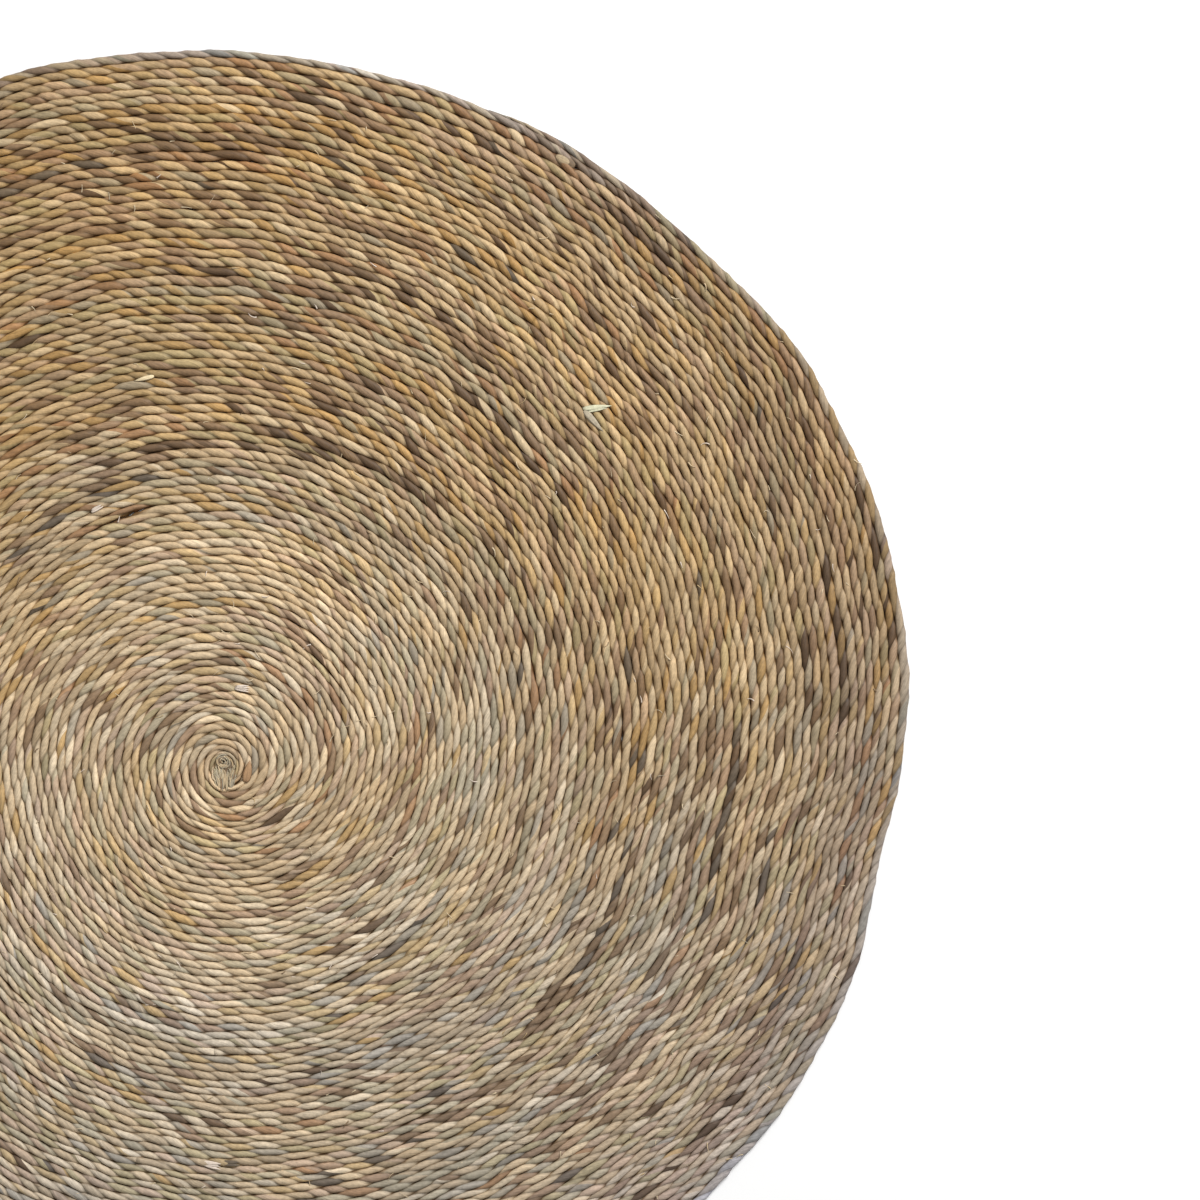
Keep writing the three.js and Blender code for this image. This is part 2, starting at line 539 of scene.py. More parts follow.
    def rim_squeeze(self, line: np.ndarray, angle: np.ndarray) -> np.ndarray:
        """How far a line near the rim is moved out, to leave a narrow last round in one stretch.

        Args:
            line: Number of rounds out from the start.
            angle: Directions from the start.

        Returns:
            The move, below 0 where the outermost rounds are drawn in a little.
        """
        last = self.rounds - 0.5
        grown = np.clip((line - last + self.squeezed_rounds + 1.0) / self.squeezed_rounds, 0.0, 1.0)
        rim = smooth((line - last + self.squeeze_end) / self.squeeze_end)
        drawn_in = np.clip((line - last + self.pulled_rounds) / self.pulled_rounds, 0.0, 1.0)
        squeezed = self.squeeze * self.near(angle, self.squeeze_angle, self.squeeze_spread)
        pull = self.rim_pull + self.end_pull * self.near(angle, self.end_pull_angle, self.end_pull_spread)
        return squeezed * grown * (1.0 - rim) - pull * drawn_in

    def rough_line(self, line: np.ndarray, angle: np.ndarray) -> np.ndarray:
        """Radius of a line between two rounds, with the push of uneven cord.

        Args:
            line: Numbers of rounds out from the start.
            angle: Directions from the start.

        Returns:
            The radius of each line.
        """
        at = np.clip(line, 0.0, self.rounds + 1.5) * self.grid_steps
        low = np.floor(at).astype(int)
        share = at - low
        flat = self.pushed.ravel()
        push = flat[low] * (1.0 - share) + flat[low + 1] * share
        inside = smooth((self.rounds + 0.5 - line) / self.calm_rounds)
        edge = self.rim_push + (1.0 - self.rim_push) * inside
        return self.line_radius(line, angle) + push * edge + self.rim_squeeze(line, angle)

    def cord(self, turn: np.ndarray, parted: bool = True) -> tuple[np.ndarray, np.ndarray]:
        """The middle and the width of the cord.

        Args:
            turn: Turns from the start of the spiral.
            parted: Whether the gaps between rounds are left open, as they are above the cord's middle.

        Returns:
            The radius of the cord's middle line, and the room that it has between its neighbours.
        """
        angle = self.angle(turn)
        inner = self.rough_line(turn - 0.5, angle)
        outer = self.rough_line(turn + 0.5, angle)
        if parted:
            inner = inner + self.gap_out(turn - 0.5, angle)
            outer = outer - self.gap_out(turn + 0.5, angle)
        width = (outer - inner) * self.width_share(turn)
        middle = inner + width / 2
        lean = self.oval * np.cos(2 * np.radians(angle - self.oval_angle)) * middle
        lean *= np.exp(-np.maximum(turn, 0.0) / self.oval_turns) / (middle + self.oval_radius)
        return middle + lean, width


@dataclass
class CordRoute:
    """The cord's course from the middle to the rim, cut in rings that stand across it."""

    spiral: Spiral
    ring_step: float = 3.4 * MM
    fewest_rings: int = 22
    fine_steps: int = 400
    first_turn: float = -1.0
    last_round_height: float = 0.9
    thickness: float = 7.2 * MM
    inner_thickness: float = 6.4 * MM
    start_thickness: float = 4.0 * MM
    ply_turn: float = 40 * MM
    linger: float = 0.42
    tight_twist: float = 3.0
    tight_length: float = 60 * MM
    slack: tuple[Ripple, ...] = (Ripple(1.6, 170 * MM, 22), Ripple(1.15, 40 * MM, 23))
    lumps: Ripple = Ripple(0.05, 60 * MM, 21)
    thickening_rounds: float = 14.0
    thinned_height: float = 0.6
    twist_share: float = 0.5
    grid_step: float = 1 * MM
    turns: np.ndarray = field(init=False)
    metres: np.ndarray = field(init=False)
    middle: np.ndarray = field(init=False)
    outward: np.ndarray = field(init=False)
    width: np.ndarray = field(init=False)
    foot_width: np.ndarray = field(init=False)
    foot_shift: np.ndarray = field(init=False)
    height: np.ndarray = field(init=False)
    twist: np.ndarray = field(init=False)

    def __post_init__(self) -> None:
        """Works out the rings' places, widths, heights and twist."""
        last = self.spiral.rounds + self.spiral.tail_turns
        fine = np.linspace(self.first_turn, last, int((last - self.first_turn) * self.fine_steps))
        radius, _ = self.spiral.cord(fine)
        per_turn = np.maximum(2 * math.pi * radius, self.fewest_rings * self.ring_step)
        step = np.diff(fine, prepend=fine[0])
        crowd = np.cumsum(per_turn * step)
        length = np.cumsum(2 * math.pi * radius * step)
        grid = np.arange(0.0, length[-1], self.grid_step)
        by_twist = self.twist_at(grid) * self.ply_turn / (2 * math.pi)
        by_length = np.interp(grid, length, crowd)
        crowd = (1.0 - self.twist_share) * by_length + self.twist_share * (by_twist - by_twist[0])
        rings = int(crowd[-1] / self.ring_step) + 1
        self.metres = np.interp(np.linspace(0.0, crowd[-1], rings), crowd, grid)
        self.turns = np.interp(self.metres, length, fine)
        self.twist = self.twist_at(self.metres)
        radius, self.width = self.spiral.cord(self.turns)
        foot, self.foot_width = self.spiral.cord(self.turns, parted=False)
        self.foot_shift = foot - radius
        self.middle = self.spiral.at(self.spiral.angle(self.turns), radius)
        along = np.gradient(self.middle, axis=0)
        along /= np.linalg.norm(along, axis=1, keepdims=True)
        self.outward = np.stack([along[:, 1], -along[:, 0]], axis=1)
        self.height = self.heights()

    def heights(self) -> np.ndarray:
        """Works out the cord's height, which grows from its thin start.

        Returns:
            The height at each ring.
        """
        begun = smooth((self.turns - self.first_turn) / self.spiral.thin_rounds)
        grown = smooth(self.turns / self.thickening_rounds)
        height = self.start_thickness + (self.inner_thickness - self.start_thickness) * begun
        height += (self.thickness - self.inner_thickness) * grown
        height *= 1.0 + self.lumps.along(self.metres)
        height *= self.thinned_height + (1.0 - self.thinned_height) * self.spiral.width_share(self.turns)
        lowered = smooth((self.turns - self.spiral.rounds + 1.0) / self.spiral.taper_turns)
        return height * (1.0 + (self.last_round_height - 1.0) * lowered)

    def twist_at(self, metres: np.ndarray) -> np.ndarray:
        """Turn of the plies, slower while a ply is on top than while it dives under.

        Args:
            metres: Places along the cord.

        Returns:
            The turn at each place, in radians.
        """
        slack = sum(ripple.along(metres) for ripple in self.slack)
        tight = self.tight_twist * (1.0 - np.exp(-metres / self.tight_length))
        even = 2 * math.pi * metres / self.ply_turn + slack + tight
        return even - self.linger / 2 * np.sin(2 * even)

    def cut(self, parts: int) -> list[tuple[int, int]]:
        """The first and last ring of each of a number of equal lengths of cord."""
        ends = np.linspace(0, len(self.turns) - 1, parts + 1).astype(int)
        return list(zip(ends[:-1], ends[1:], strict=True))


@dataclass(frozen=True)
class PlySection:
    """The outline across the cord: two plump plies with a crease between them."""

    lobe_angles: tuple[float, ...] = (-90, -54, -18, 18, 54)
    lobe_reach: tuple[float, ...] = (0.5, 0.88, 1.0, 1.0, 0.88)
    side_reach: float = 0.78
    bare_reach: float = 0.9
    foot_reach: float = 1.08
    foot_slope: float = 2.5
    side_power: float = 4.0
    foot_power: float = 1.5
    overlap: float = 1.2
    fattest: float = 7 * MM
    spare_kept: float = 0.65

    @property
    def count(self) -> int:
        """Points round both plies."""
        return 2 * len(self.lobe_angles)

    def angles(self) -> np.ndarray:
        """Angles of the points round both plies, in radians."""
        one = np.radians(self.lobe_angles)
        return np.concatenate([one, one + math.pi])

    def reach(self, turned: np.ndarray, plump: np.ndarray, bare: np.ndarray) -> np.ndarray:
        """Reach of the points, filled out where the neighbouring rounds press on the sides.

        Args:
            turned: Direction of each point, 0 to the outer side and a quarter turn for up.
            plump: How fat the ply is at each point.
            bare: Whether the point is on the mat's rim, which wear has made smooth.

        Returns:
            The reach as a share of half the cord.
        """
        free = np.array(self.lobe_reach * 2)[None, :] * plump
        below = self.below(turned)
        side = np.where(bare, self.bare_reach, self.side_reach)
        foot = np.where(bare, self.bare_reach, self.foot_reach)
        pressed = side + (foot - side) * below
        power = self.side_power + (self.foot_power - self.side_power) * below
        share = np.abs(np.cos(turned)) ** power
        return free + np.maximum(pressed - free, 0.0) * share

    def below(self, turned: np.ndarray) -> np.ndarray:
        """How far each point faces down, from 0 to 1."""
        return smooth(-self.foot_slope * np.sin(turned))

    def half_width(self, room: np.ndarray) -> np.ndarray:
        """Half the cord's width where its round has this much room."""
        spare = np.maximum(room - self.fattest, 0.0) * (1.0 - self.spare_kept)
        return (room * self.overlap - spare) / 2


@dataclass
class LeafColours:
    """Picks the leaf that shows each time that a ply comes over the top."""

    seed: int = 5
    kept_share: float = 0.5
    two_leaf_share: float = 0.3
    value_spread: float = 0.1
    value_limits: tuple[float, float] = (0.72, 1.25)
    leaf_widths: tuple[float, float] = (0.25, 0.75)
    lengthwise: tuple[Ripple, ...] = (Ripple(0.05, 700 * MM, 31), Ripple(0.05, 150 * MM, 32))
    dark_patches: tuple[Patches, ...] = (
        Patches(1.0, (28 * MM, 60 * MM), 33), Patches(0.7, (90 * MM, 110 * MM), 34),
    )
    warm_patches: tuple[Patches, ...] = (
        Patches(1.0, (22 * MM, 36 * MM), 35), Patches(0.6, (60 * MM, 80 * MM), 36),
    )
    light_patches: Patches = Patches(0.09, (13 * MM, 20 * MM), 37)
    mean_radius: float = 350 * MM
    warm_shift: tuple[float, float, float] = (0.035, 0.0, -0.07)
    high_side: Facing = Facing(math.pi / 2 - 0.17, 0.9, 0.5)
    right_side: Facing = Facing(0.17, 1.2, -0.2)
    shaded_side: Facing = Facing(0.5, 1.5, -0.4)
    centre_radius: float = 170 * MM
    centre_less: float = 70 * MM
    centre_fade: float = 280 * MM
    rim_radius: float = 470 * MM
    low_middle_radius: float = 140 * MM
    region_fade: float = 80 * MM
    shaded_radius: float = 260 * MM
    start_length: float = 600 * MM
    start_tone: tuple[float, float, float] = (0.87, 0.83, 0.82)
    # Painted shade: the last round is tinted darker and cooler. A short stretch of it at the top also takes
    # the greyer rim tones.
    shaded_rim_turns: tuple[float, float] = (79.97, 80.08)
    shaded_rim_fade: float = 0.03
    last_round_shade: tuple[float, float, float] = (0.8, 0.9, 1.12)
    right_rim_tint: tuple[float, float, float] = (0.81, 0.8, 0.82)
    low_rim_tint: tuple[float, float, float] = (1.0, 1.02, 1.12)
    low_middle_tint: tuple[float, float, float] = (1.01, 1.07, 1.18)
    shaded_tint: tuple[float, float, float] = (0.9, 0.9, 0.9)
    darkening: float = 1.35

    def regions(self, place: np.ndarray) -> tuple[np.ndarray, np.ndarray]:
        """The mix of tones and the tint at places on the mat.

        Args:
            place: Points seen from above, one row each.

        Returns:
            A row of shares for each point, in the order of Leaf, and a row of red, green and blue.
        """
        far = np.linalg.norm(place, axis=1)[:, None]
        angle = np.arctan2(place[:, 1], place[:, 0])[:, None]
        high = self.high_side.share(angle)
        outer = smooth((far - self.centre_radius + self.centre_less * high) / self.centre_fade)
        rim = smooth((far - self.rim_radius) / self.region_fade)
        low_middle = (1.0 - high) * (1.0 - outer) * smooth((far - self.low_middle_radius) / self.region_fade)
        shaded = np.exp(-(((far - self.shaded_radius) / self.region_fade) ** 2))
        weights = ((1.0 - outer, CENTRE_MIX), (high * outer, UPPER_MIX), (outer - high * outer, LOWER_MIX))
        shares = sum(weight * mix.as_array() for weight, mix in weights)
        tint = sum(weight * np.array(mix.tint) for weight, mix in weights)
        tint = tinted(tint, rim * self.right_side.share(angle), self.right_rim_tint)
        tint = tinted(tint, rim * (1.0 - high), self.low_rim_tint)
        tint = tinted(tint, low_middle, self.low_middle_tint)
        tint = tinted(tint, shaded * self.shaded_side.share(angle), self.shaded_tint)
        polar = np.concatenate([far, self.mean_radius * angle / math.pi], axis=1)
        patches = sum(row.over(polar) for row in self.dark_patches)
        warm = sum(row.over(polar) for row in self.warm_patches)
        tint = tint * (1.0 + warm[:, None] * np.array(self.warm_shift))
        tint = tint * (1.0 + self.light_patches.over(polar))[:, None]
        dark = np.array([tone in DARK_LEAVES for tone in Leaf])
        shares = shares * np.where(dark, np.exp(self.darkening * patches)[:, None], 1.0)
        return shares / shares.sum(axis=1, keepdims=True), tint

    def pick(self, shares: np.ndarray, draw: np.ndarray) -> np.ndarray:
        """The tone that each draw from 0 to 1 falls on."""
        return np.minimum((np.cumsum(shares, axis=1) < draw[:, None]).sum(axis=1), len(Leaf) - 1)

    def ply_turns(
        self, place: np.ndarray, metres: np.ndarray, turns: np.ndarray, ply: int
    ) -> tuple[np.ndarray, ...]:
        """Colours of the turns of one ply.

        Args:
            place: Where each turn lies, seen from above.
            metres: How far along the cord it lies.
            turns: How many turns out from the start it lies.
            ply: 0 or 1.

        Returns:
            The main colour, a second colour, and the share of the ply's width that the main one takes.
        """
        draws = np.random.default_rng([self.seed, ply])
        count = len(place)
        shares, tint = self.regions(place)
        # Painted shade on the last round: a darker, cooler tint, and greyer tones on a short stretch at the
        # top.
        begun = smooth((turns - self.shaded_rim_turns[0]) / self.shaded_rim_fade)[:, None]
        shaded_rim = begun * smooth((self.shaded_rim_turns[1] + self.shaded_rim_fade - turns) / self.shaded_rim_fade)[:, None]
        tint = tinted(tint, begun, self.last_round_shade)
        shares = shares * (1.0 - shaded_rim) + SHADED_RIM_MIX.as_array() * shaded_rim
        tint = tint * (1.0 - shaded_rim) + np.array(SHADED_RIM_MIX.tint) * shaded_rim
        tones = tone_rows(Leaf)
        first = self.pick(shares, draws.random(count))
        second = self.pick(shares, draws.random(count))
        kept = draws.random(count) < self.kept_share
        for i in np.flatnonzero(kept[1:]) + 1:
            first[i] = first[i - 1]
        both = draws.random(count) < self.two_leaf_share
        second = np.where(both, second, first)
        value = 1.0 + self.value_spread * draws.standard_normal(count)
        value *= 1.0 + sum(ripple.along(metres) for ripple in self.lengthwise)
        tint = tint * np.clip(value, *self.value_limits)[:, None]
        tint = tinted(tint, 1.0 - smooth(metres / self.start_length)[:, None], self.start_tone)
        split = np.where(both, draws.uniform(*self.leaf_widths, count), 1.0)
        return tones[first] * tint, tones[second] * tint, split


def new_mesh_piece(
    name: str, points: np.ndarray, quads: np.ndarray, caps: Sequence[Sequence[int]]
) -> bpy.types.Object:
    """Makes an object of quads with a few many-sided caps.

    Args:
        name: The piece's name.
        points: Its points, one row each.
        quads: Four point numbers in each row.
        caps: Faces of any number of sides.

    Returns:
        The new object, shaded smooth.
    """
    mesh = bpy.data.meshes.new(name)
    loops = np.concatenate([quads.ravel(), *[np.asarray(cap) for cap in caps]]).astype(np.int32)
    sizes = np.concatenate([np.full(len(quads), 4), [len(cap) for cap in caps]]).astype(np.int32)
    starts = np.concatenate([[0], np.cumsum(sizes)[:-1]]).astype(np.int32)
    mesh.vertices.add(len(points))
    mesh.vertices.foreach_set("co", points.astype(np.float32).ravel())
    mesh.loops.add(len(loops))
    mesh.loops.foreach_set("vertex_index", loops)
    mesh.polygons.add(len(sizes))
    mesh.polygons.foreach_set("loop_start", starts)
    mesh.update(calc_edges=True)
    mesh.shade_smooth()
    piece = bpy.data.objects.new(name, mesh)
    bpy.context.scene.collection.objects.link(piece)
    return piece


def lay_map(mesh: bpy.types.Mesh, name: str, corners: np.ndarray) -> None:
    """Gives a mesh a map, one row for each corner of its faces."""
    mesh.uv_layers.new(name=name).data.foreach_set("uv", corners.astype(np.float32).ravel())


def lay_colours(mesh: bpy.types.Mesh, corners: np.ndarray) -> None:
    """Gives a mesh its leaf colours.

    Args:
        mesh: The mesh.
        corners: Red, green and blue for each corner of its faces, one row each.
    """
    rgba = np.concatenate([corners, np.ones((len(corners), 1))], axis=1)
    layer = mesh.color_attributes.new("leaf", "FLOAT_COLOR", "CORNER")
    layer.data.foreach_set("color", rgba.astype(np.float32).ravel())


@dataclass
class TwistedCord:
    """Builds the two-ply cord as closed lengths of mesh."""

    route: CordRoute
    section: PlySection
    colours: LeafColours
    plump_spread: float = 0.11
    plumpness: tuple[Ripple, Ripple] = (Ripple(1.0, 19 * MM, 41), Ripple(1.0, 19 * MM, 42))
    # Painted shade: these factors darken the colour in the crease between the plies and down the cord's sides
    # in the grooves between the rounds. The darkening is stronger under the cord and milder on the rim's
    # outer side.
    crease_shade: float = 0.68
    groove_shade: tuple[float, float, float] = (0.4, 0.29, 0.18)
    groove_depth: float = 0.06
    groove_rise: float = 0.46
    foot_shade: float = 0.35
    rim_tint: tuple[float, float, float] = (0.86, 0.86, 0.95)
    bake_rows: int = 40
    bake_margin: float = 0.04
    bake_spot: float = 0.999

    def turned(self, first: int, last: int) -> np.ndarray:
        """Direction of each point of the rings, 0 to the outer side and a quarter turn for up."""
        return self.section.angles()[None, :] + math.pi / 2 - self.route.twist[first:last + 1, None]

    def bare(self, first: int, last: int) -> np.ndarray:
        """Whether each point of the rings is on the mat's rim."""
        last_round = self.route.turns[first:last + 1, None] > self.route.spiral.rounds - 1
        return last_round & (np.cos(self.turned(first, last)) > 0)

    def rings(self, first: int, last: int) -> np.ndarray:
        """Points of the rings from first to last.

        Args:
            first: Number of the first ring.
            last: Number of the last ring.

        Returns:
            An array of rings, points round each ring, and x, y, z.
        """
        r = self.route
        pick = slice(first, last + 1)
        turned = self.turned(first, last)
        plump = np.stack([ripple.along(r.metres) for ripple in self.plumpness], axis=1)[pick]
        plump = 1.0 + self.plump_spread * np.repeat(plump, self.section.count // 2, axis=1)
        reach = self.section.reach(turned, plump, self.bare(first, last))
        below = self.section.below(turned)
        room = r.width[pick, None] * (1.0 - below) + r.foot_width[pick, None] * below
        out = reach * np.cos(turned) * self.section.half_width(room) + below * r.foot_shift[pick, None]
        up = (1.0 + reach * np.sin(turned)) * r.height[pick, None] / 2
        flat = r.middle[pick, None, :] + r.outward[pick, None, :] * out[..., None]
        return np.concatenate([flat, np.maximum(up, 0.0)[..., None]], axis=2)

    def ring_colours(self, first: int, last: int) -> np.ndarray:
        """Leaf colours on both sides of each ring.

        Args:
            first: Number of the first ring.
            last: Number of the last ring.

        Returns:
            An array of rings, faces round each ring, and red, green, blue.
        """
        r = self.route
        columns = self.section.count // 2
        across = (np.arange(columns) + 0.5) / columns
        sides = []
        for ply in (0, 1):
            shown = np.floor((r.twist / math.pi + ply) / 2 + 0.5).astype(int)
            shown = np.maximum.accumulate(shown - shown.min())
            starts = np.searchsorted(shown, np.arange(shown.max() + 1))
            places = (r.middle[starts], r.metres[starts], r.turns[starts])
            main, other, split = self.colours.ply_turns(*places, ply)
            at = shown[first:last + 1]
            on_main = (across[None, :] < split[at, None])[..., None]
            sides.append(np.where(on_main, main[at, None, :], other[at, None, :]))
        return np.concatenate(sides, axis=1)

    def build(self, name: str, first: int, last: int) -> bpy.types.Object:
        """Makes one length of the cord.

        Args:
            name: The piece's name.
            first: Number of its first ring.
            last: Number of its last ring.

        Returns:
            The piece, with its leaf colours and its maps.
        """
        count = self.section.count
        rings = self.rings(first, last)
        steps = len(rings) - 1
        ring, column = np.meshgrid(np.arange(steps), np.arange(count), indexing="ij")
        after = (column + 1) % count
        corners = ((ring, column), (ring + 1, column), (ring + 1, after), (ring, after))
        quads = np.stack([at * count + side for at, side in corners], axis=-1).reshape(-1, 4)
        end = steps * count
        caps = [list(range(count)), list(range(end + count - 1, end - 1, -1))]
        piece = new_mesh_piece(name, rings.reshape(-1, 3), quads, caps)
        self.mark_creases(piece.data)
        self.paint(piece.data, first, last, rings)
        self.lay_maps(piece.data, first, steps)
        return piece

    def mark_creases(self, mesh: bpy.types.Mesh) -> None:
        """Keeps the crease between the plies sharp.

        Args:
            mesh: A length of the cord.
        """
        ends = np.zeros(len(mesh.edges) * 2, np.int32)
        mesh.edges.foreach_get("vertices", ends)
        column = ends.reshape(-1, 2) % self.section.count
        in_crease = (column[:, 0] == column[:, 1]) & (column[:, 0] % (self.section.count // 2) == 0)
        mesh.attributes.new("sharp_edge", "BOOLEAN", "EDGE").data.foreach_set("value", in_crease)

    def painted_shade(self, first: int, last: int, rings: np.ndarray) -> np.ndarray:
        """Painted shade in the creases and in the grooves between the rounds.

        Args:
            first: Number of the first ring.
            last: Number of the last ring.
            rings: The rings' points.

        Returns:
            A factor of red, green and blue for each point.
        """
        tall = self.route.height[first:last + 1, None]
        depth = np.abs(rings[..., 2] / tall - 0.5) * 2
        under = self.foot_shade * self.section.below(self.turned(first, last))
        open_side = smooth((depth - self.groove_depth - under) / self.groove_rise)
        # Painted shade: dark deep in the grooves, milder on the outer side of the rim.
        deep = np.where(self.bare(first, last)[..., None], self.rim_tint, self.groove_shade)
        open_side = open_side[..., None]
        tint = deep * (1.0 - open_side) + open_side
        # Painted shade along the crease between the plies.
        tint[:, ::self.section.count // 2] *= self.crease_shade
        return tint

    def paint(self, mesh: bpy.types.Mesh, first: int, last: int, rings: np.ndarray) -> None:
        """Writes the leaf colours, with painted shade down in the creases and grooves.

        Args:
            mesh: A length of the cord.
            first: Number of the first ring.
            last: Number of the last ring.
            rings: The rings' points.
        """
        count = self.section.count
        colours = self.ring_colours(first, last)
        tint = self.painted_shade(first, last, rings)
        near = np.stack([colours[:-1], colours[1:], colours[1:], colours[:-1]], axis=2)
        after = np.roll(tint, -1, axis=1)
        dark = np.stack([tint[:-1], tint[1:], after[1:], after[:-1]], axis=2)
        faces = (near * dark).reshape(-1, 3)
        caps = np.full((2 * count, 3), linear(Leaf.BROWN.value))
        lay_colours(mesh, np.concatenate([faces, caps]))

    def lay_maps(self, mesh: bpy.types.Mesh, first: int, steps: int) -> None:
        """Lays a map that follows the fibres, and one that packs the cord in rows for baking.

        Args:
            mesh: A length of the cord.
            first: Number of its first ring.
            steps: Steps between its rings.
        """
        count = self.section.count
        ring, column = np.meshgrid(np.arange(steps), np.arange(count), indexing="ij")
        metres = self.route.metres[first:first + steps + 1]
        turned = np.stack([column, column, column + 1, column + 1], axis=-1) / count
        along = np.stack([metres[ring], metres[ring + 1], metres[ring + 1], metres[ring]], axis=-1)
        cap = np.stack([np.full(count, metres[0]), np.arange(count) / count], axis=1)
        fibre = np.stack([along, turned], axis=-1).reshape(-1, 2)
        lay_map(mesh, "Fibre", np.concatenate([fibre, cap, cap]))
        per_row = math.ceil(steps / self.bake_rows)
        row, place = np.divmod(ring, per_row)
        u = np.stack([place, place + 1, place + 1, place], axis=-1) / per_row
        inside = self.bake_margin + (1.0 - 2 * self.bake_margin) * turned
        v = (row[..., None] + inside) / self.bake_rows
        packed = np.stack([u, v], axis=-1).reshape(-1, 2)
        lay_map(mesh, "OFBake", np.concatenate([packed, np.full((2 * count, 2), self.bake_spot)]))


@dataclass
class Strands:
    """Many thin closed strands as one mesh."""

    lines: np.ndarray
    half_widths: np.ndarray
    colours: np.ndarray
    thinness: float
    sides: int = 4
    bake_margin: float = 0.1

    def build(self, name: str) -> bpy.types.Object:
        """Makes the strands.

        Args:
            name: The piece's name.

        Returns:
            The piece, with its leaf colours and its maps.
        """
        strands, steps, _ = self.lines.shape
        count = self.sides
        points = self.points().reshape(-1, 3)
        strand, ring, column = np.meshgrid(
            np.arange(strands), np.arange(steps - 1), np.arange(count), indexing="ij")
        base = (strand * steps + ring) * count
        after = (column + 1) % count
        corners = (base + column, base + after, base + count + after, base + count + column)
        quads = np.stack(corners, axis=-1).reshape(-1, 4)
        rim = np.arange(count)
        starts = np.arange(strands)[:, None] * steps * count
        caps = np.stack([starts + rim[::-1], starts + (steps - 1) * count + rim], axis=1).reshape(-1, count)
        piece = new_mesh_piece(name, points, quads, caps)
        per_strand = np.repeat(self.colours, (steps - 1) * count * 4, axis=0)
        lay_colours(piece.data, np.concatenate([per_strand, np.repeat(self.colours, 2 * count, axis=0)]))
        self.lay_maps(piece.data, strand, ring, column)
        return piece

    def points(self) -> np.ndarray:
        """Places points round each step of each strand.

        Returns:
            An array of strands, steps, points round each step, and x, y, z.
        """
        ahead = np.gradient(self.lines, axis=1)
        ahead /= np.linalg.norm(ahead, axis=2, keepdims=True)
        left = np.cross([0.0, 0.0, 1.0], ahead)
        left /= np.linalg.norm(left, axis=2, keepdims=True)
        over = np.cross(ahead, left)
        turned = 2 * math.pi * np.arange(self.sides) / self.sides
        wide = self.half_widths[:, :, None, None]
        aside = left[:, :, None, :] * np.cos(turned)[:, None]
        above = over[:, :, None, :] * np.sin(turned)[:, None] * self.thinness
        return self.lines[:, :, None, :] + wide * (aside + above)

    def lay_maps(
        self, mesh: bpy.types.Mesh, strand: np.ndarray, ring: np.ndarray, column: np.ndarray
    ) -> None:
        """Lays a map that follows the fibres, and one with a row for each strand for baking.

        Args:
            mesh: The strands' mesh.
            strand: Number of each face's strand.
            ring: Number of each face's step along the strand.
            column: Number of each face round it.
        """
        strands, steps, _ = self.lines.shape
        along = np.stack([ring, ring, ring + 1, ring + 1], axis=-1)
        turned = np.stack([column, column + 1, column + 1, column], axis=-1) / self.sides
        length = np.linalg.norm(np.diff(self.lines, axis=1), axis=2).sum(axis=1)
        metres = along / (steps - 1) * length[strand][..., None] + strand[..., None]
        ends = np.zeros((2 * strands * self.sides, 2))
        lay_map(mesh, "Fibre", np.concatenate([np.stack([metres, turned], axis=-1).reshape(-1, 2), ends]))
        inside = self.bake_margin + (1.0 - 2 * self.bake_margin) * turned
        row = (strand[..., None] + inside) / strands
        packed = np.stack([along / (steps - 1), row], axis=-1).reshape(-1, 2)
        lay_map(mesh, "OFBake", np.concatenate([packed, ends]))


@dataclass
class Oval:
    """A plump closed oval that lies flat."""

    middle: np.ndarray
    along: np.ndarray
    length: float
    width: float
    height: float
    thinness: float
    steps: int
    sides: int
    pole: float = 0.47 * math.pi

    def strand(self, tone: np.ndarray) -> Strands:
        """Turns the oval into a single strand.

        Args:
            tone: Its colour in linear light.

        Returns:
            The strand.
        """
        turned = np.linspace(-self.pole, self.pole, self.steps)
        flat = self.middle + self.along * (np.sin(turned) * self.length / 2)[:, None]
        line = np.concatenate([flat, np.full((self.steps, 1), self.height)], axis=1)[None]
        half = np.cos(turned)[None] * self.width / 2
        return Strands(line, half, tone[None], self.thinness, self.sides)


@dataclass(frozen=True)
class WideTip:
    """A broad leaf tip that shows, placed by direction and distance from the start."""

    angle: float
    radius: float
    heading: float
    length: float
    width: float
    tone: Leaf
    blades: int = 1


